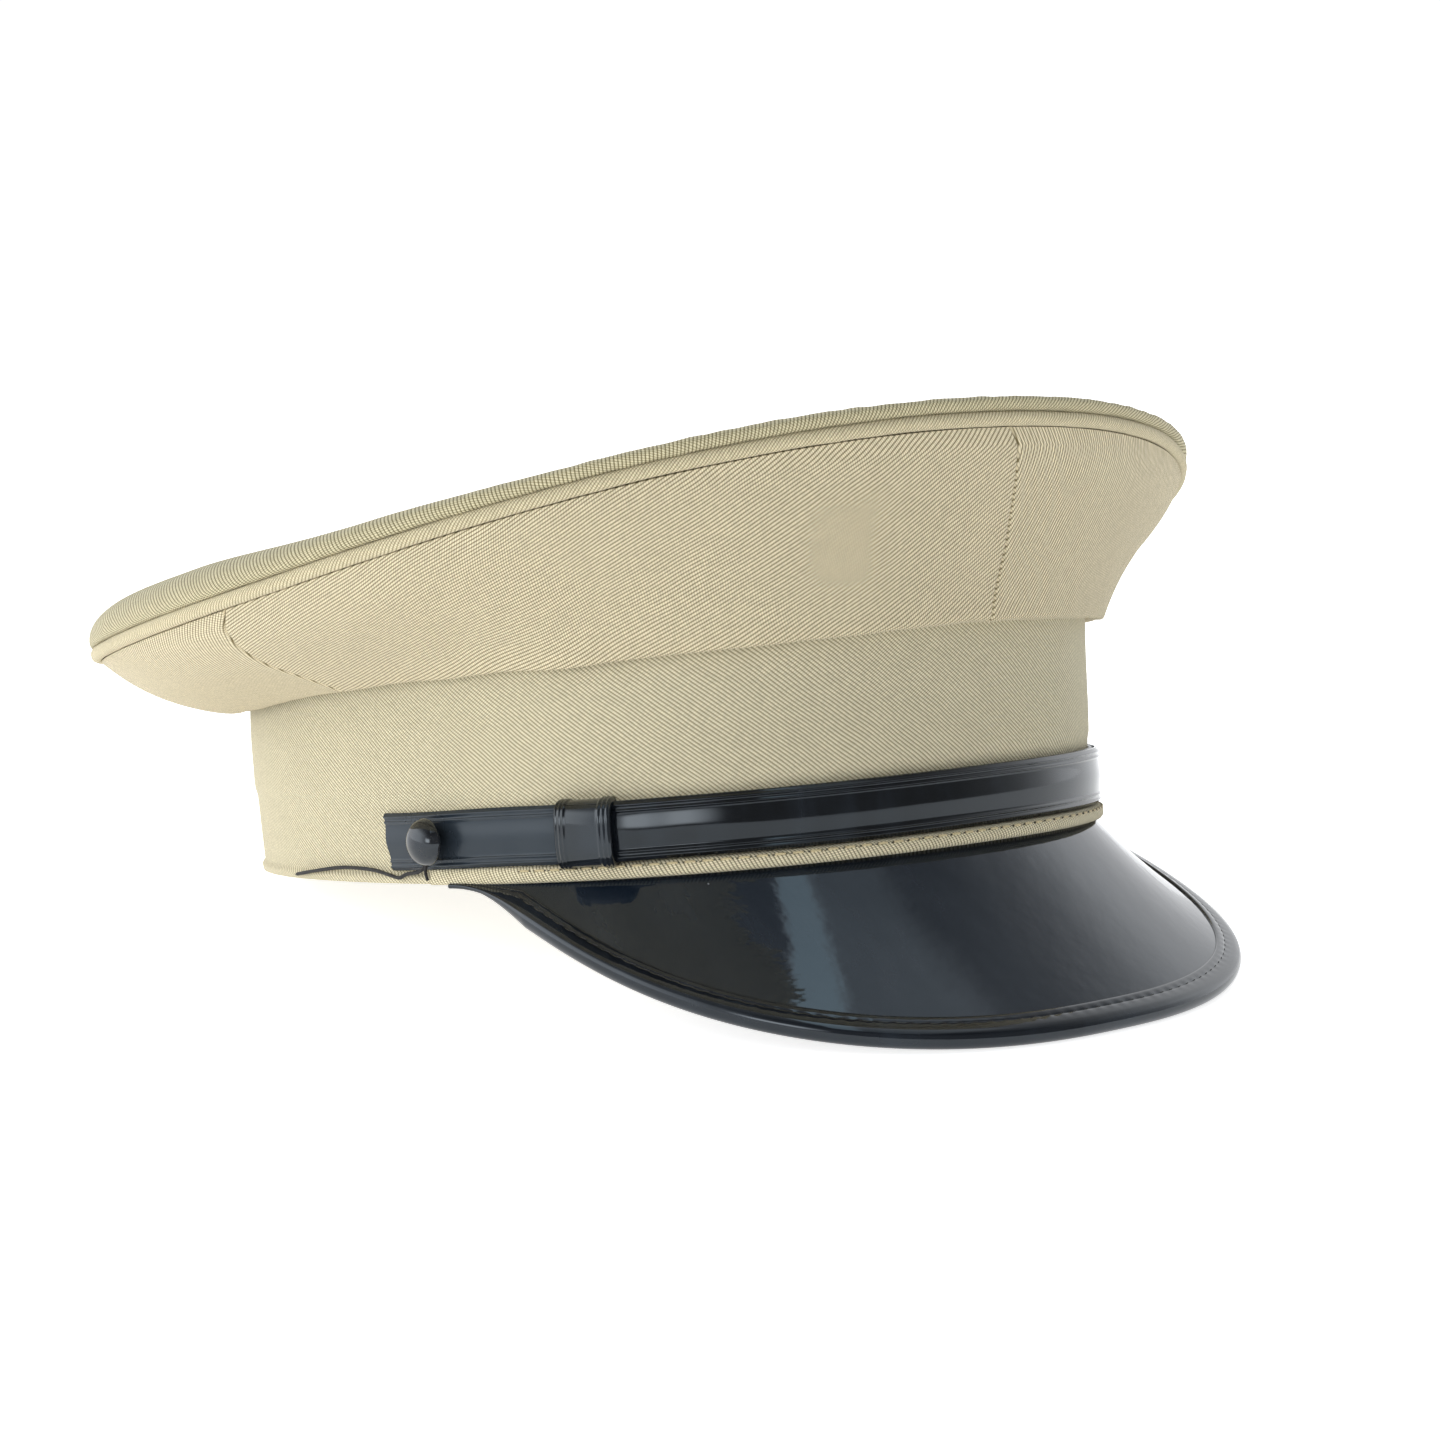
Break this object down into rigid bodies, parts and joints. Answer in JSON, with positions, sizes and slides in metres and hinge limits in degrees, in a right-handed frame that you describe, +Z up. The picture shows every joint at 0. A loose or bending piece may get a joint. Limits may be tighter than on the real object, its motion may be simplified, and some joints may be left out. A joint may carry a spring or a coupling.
{
  "type": "valet cap",
  "caption": "Peaked uniform cap with a wide saucer crown, piped rim, stitched patent peak and a buttoned double strap, resting on its peak and band.",
  "frame": {"origin": "middle of the outer box, on the surface that the cap rests on", "axes": "+Z up, -Y out of the front of the cap over the peak, +X towards the wearer's left"},
  "size_m": [0.2704, 0.2826, 0.1288],
  "materials": {
    "khaki_twill": "matte twill weave",
    "patent_black": "high gloss patent",
    "strap_black": "satin, with pressed ribs",
    "button_black": "satin gloss"
  },
  "bodies": {
    "root": {"crown_top": "khaki_twill", "crown_welt": "khaki_twill", "quarter_front_left": "khaki_twill", "quarter_front_right": "khaki_twill", "quarter_back_left": "khaki_twill", "quarter_back_right": "khaki_twill", "band": "khaki_twill", "peak": "patent_black", "peak_binding": "patent_black", "strap_right": "strap_black", "strap_left": "strap_black", "keeper_right": "strap_black", "keeper_left": "strap_black", "button_right": "button_black", "button_left": "button_black"}
  },
  "joints": []
}
